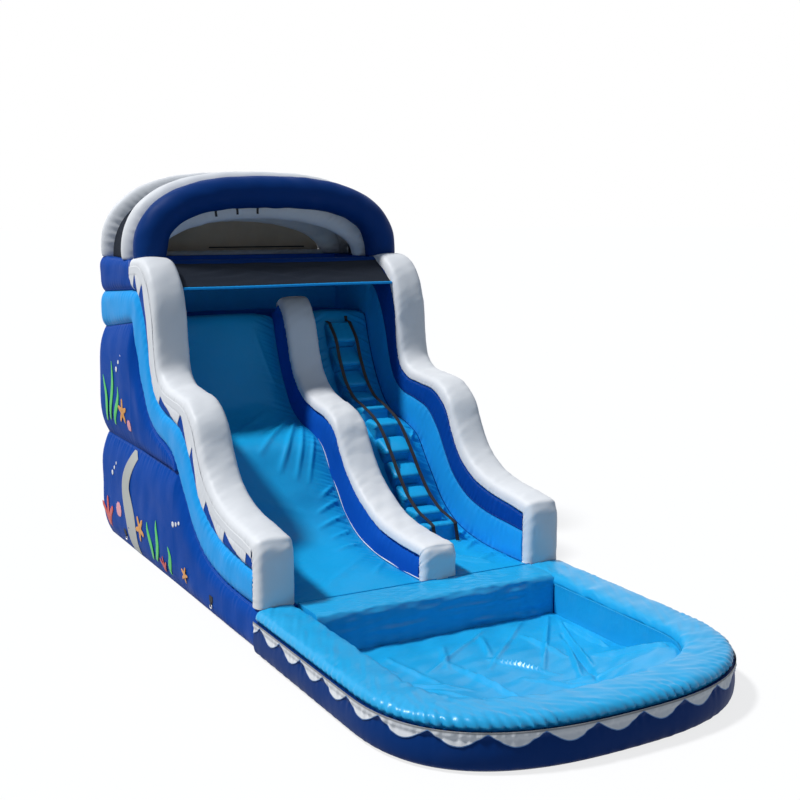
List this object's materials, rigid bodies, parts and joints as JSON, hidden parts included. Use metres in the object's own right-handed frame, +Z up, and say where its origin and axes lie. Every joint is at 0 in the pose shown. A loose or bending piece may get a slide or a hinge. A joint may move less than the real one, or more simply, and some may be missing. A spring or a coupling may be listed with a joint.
{
  "type": "inflatable water slide",
  "caption": "Inflatable water slide: a wide sliding lane and a stepped climbing lane between waved walls, a netted hood over the platform, and a rounded splash pool at the foot.",
  "frame": {"origin": "middle of the slide's footprint, on the ground", "axes": "+Y from the pool towards the tower and its blower sleeve, +X to the right as seen from the pool, +Z up"},
  "size_m": [3.82, 9.23, 4.8246],
  "materials": {
    "white_vinyl": "satin",
    "navy_vinyl": "satin",
    "royal_vinyl": "satin",
    "sky_vinyl": "satin",
    "cyan_vinyl": "gloss",
    "black_webbing": "matte",
    "dark_netting": "matte",
    "plated_steel": "satin"
  },
  "bodies": {
    "slide": {"climb_mattress": "cyan_vinyl", "divider_body": "royal_vinyl", "divider_cap": "white_vinyl", "front_arch": "navy_vinyl", "hood_shade_net": "dark_netting", "hose_tie_01": "black_webbing", "hose_tie_02": "black_webbing", "hose_tie_03": "black_webbing", "inflation_sleeve": "navy_vinyl", "lane_net": "dark_netting", "lane_net_hem": "sky_vinyl", "left_front_anchor_tab": "black_webbing", "left_hand_strap": "black_webbing", "left_lower_panel": "navy_vinyl", "left_rear_anchor_tab": "black_webbing", "left_upper_panel": "navy_vinyl", "left_wall_cap": "white_vinyl", "left_wall_navy_band": "navy_vinyl", "left_wall_sky_band": "sky_vinyl", "middle_arch": "white_vinyl", "platform_deck": "royal_vinyl", "pool_apron": "cyan_vinyl", "pool_liner": "cyan_vinyl", "pool_rim": "navy_vinyl", "pool_rim_cover": "cyan_vinyl", "rear_arch": "white_vinyl", "rear_lower_panel": "navy_vinyl", "rear_navy_band": "navy_vinyl", "rear_sill": "white_vinyl", "rear_sky_band": "sky_vinyl", "rear_upper_panel": "navy_vinyl", "rear_window_net": "dark_netting", "right_front_anchor_tab": "black_webbing", "right_hand_strap": "black_webbing", "right_lower_panel": "navy_vinyl", "right_rear_anchor_tab": "black_webbing", "right_upper_panel": "navy_vinyl", "right_wall_cap": "white_vinyl", "right_wall_navy_band": "navy_vinyl", "right_wall_sky_band": "sky_vinyl", "sleeve_tie": "black_webbing", "slide_mattress": "cyan_vinyl", "slope_core": "navy_vinyl", "step_01": "cyan_vinyl", "step_02": "cyan_vinyl", "step_03": "cyan_vinyl", "step_04": "cyan_vinyl", "step_05": "cyan_vinyl", "step_06": "cyan_vinyl", "step_07": "cyan_vinyl", "step_08": "cyan_vinyl", "step_09": "cyan_vinyl", "step_10": "cyan_vinyl", "step_11": "cyan_vinyl", "zip_tape": "black_webbing"},
    "left_front_ring": {"left_front_anchor_ring": "plated_steel"},
    "left_rear_ring": {"left_rear_anchor_ring": "plated_steel"},
    "right_front_ring": {"right_front_anchor_ring": "plated_steel"},
    "right_rear_ring": {"right_rear_anchor_ring": "plated_steel"},
    "zip_slider": {"zip_slider": "plated_steel"}
  },
  "joints": [
    {"name": "left_front_ring_swing", "type": "hinge", "parent": "slide", "child": "left_front_ring", "pos_m": [-1.87487, 0.105, 0.15], "axis": [0, 1, 0], "range_deg": [0, 120]},
    {"name": "left_rear_ring_swing", "type": "hinge", "parent": "slide", "child": "left_rear_ring", "pos_m": [-1.8633, 3.155, 0.15], "axis": [0, 1, 0], "range_deg": [0, 120]},
    {"name": "right_front_ring_swing", "type": "hinge", "parent": "slide", "child": "right_front_ring", "pos_m": [1.87487, 0.105, 0.15], "axis": [0, -1, 0], "range_deg": [0, 120]},
    {"name": "right_rear_ring_swing", "type": "hinge", "parent": "slide", "child": "right_rear_ring", "pos_m": [1.8633, 3.155, 0.15], "axis": [0, -1, 0], "range_deg": [0, 120]},
    {"name": "zip_slider_travel", "type": "slide", "parent": "slide", "child": "zip_slider", "axis": [-1, 0, 0], "range_m": [0, 0.53]}
  ]
}
